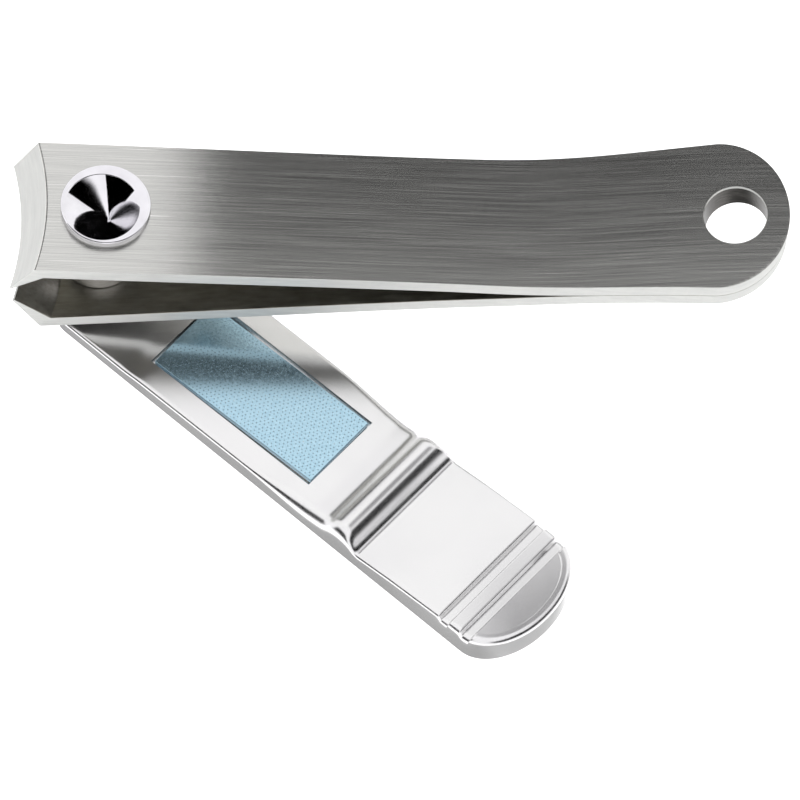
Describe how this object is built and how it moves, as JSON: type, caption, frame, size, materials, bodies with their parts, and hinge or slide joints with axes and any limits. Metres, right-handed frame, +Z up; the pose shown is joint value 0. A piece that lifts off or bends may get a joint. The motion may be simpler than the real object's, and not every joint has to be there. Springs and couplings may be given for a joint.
{
  "type": "nail clipper",
  "caption": "Flat steel nail clipper with sprung jaws joined at the tail, a dished post, a swing-out cast lever and an inset file plate.",
  "frame": {"origin": "bottom centre of the whole object's box, with the lever swung out in its rest pose", "axes": "+X from the cutting edges to the tail, +Z up along the post with its dished head on top, the lever below and swung out towards -Y"},
  "size_m": [0.08, 0.052, 0.0228],
  "materials": {
    "jaw_steel": "carbon steel strip, plated and brushed along its length",
    "bush_chrome": "polished chrome plate",
    "post_chrome": "mirror-polished chrome plate",
    "pin_steel": "plain drawn steel",
    "lever_chrome": "satin chrome plate on a zinc die casting",
    "file_blue": "blue anodic colour with a grid of fine raised points",
    "adhesive": "clear double-sided film"
  },
  "bodies": {
    "head_side_jaw": {"head_side_jaw": "jaw_steel", "lever_side_jaw_tail": "jaw_steel"},
    "lever_side_jaw": {"lever_side_jaw": "jaw_steel", "post_bush": "bush_chrome"},
    "post": {"post": "post_chrome"},
    "cross_pin": {"cross_pin": "pin_steel"},
    "lever": {"lever": "lever_chrome", "file_plate": "file_blue", "file_adhesive": "adhesive"}
  },
  "joints": [
    {"name": "jaw_close", "type": "hinge", "parent": "head_side_jaw", "child": "lever_side_jaw", "pos_m": [0.0165, 0.01743, 0.0176], "axis": [0, 1, 0], "range_deg": [0, 2.49], "stiffness_Nm_per_rad": 2},
    {"name": "post_swing", "type": "hinge", "parent": "head_side_jaw", "child": "post", "pos_m": [-0.03033, 0.01743, 0.00524], "axis": [0, 0, 1], "range_deg": [-139.3, 220.7]},
    {"name": "lever_flip", "type": "hinge", "parent": "post", "child": "cross_pin", "pos_m": [-0.03033, 0.01743, 0.00524], "axis": [0.6521, 0.7581, 0], "range_deg": [0, 140]},
    {"name": "lever_press", "type": "hinge", "parent": "cross_pin", "child": "lever", "pos_m": [-0.03033, 0.01743, 0.00524], "axis": [0.6521, 0.7581, 0], "range_deg": [0, 39]}
  ],
  "couplings": [
    {"joint": "jaw_close", "follows": "lever_press", "ratio": 0.0635}
  ]
}
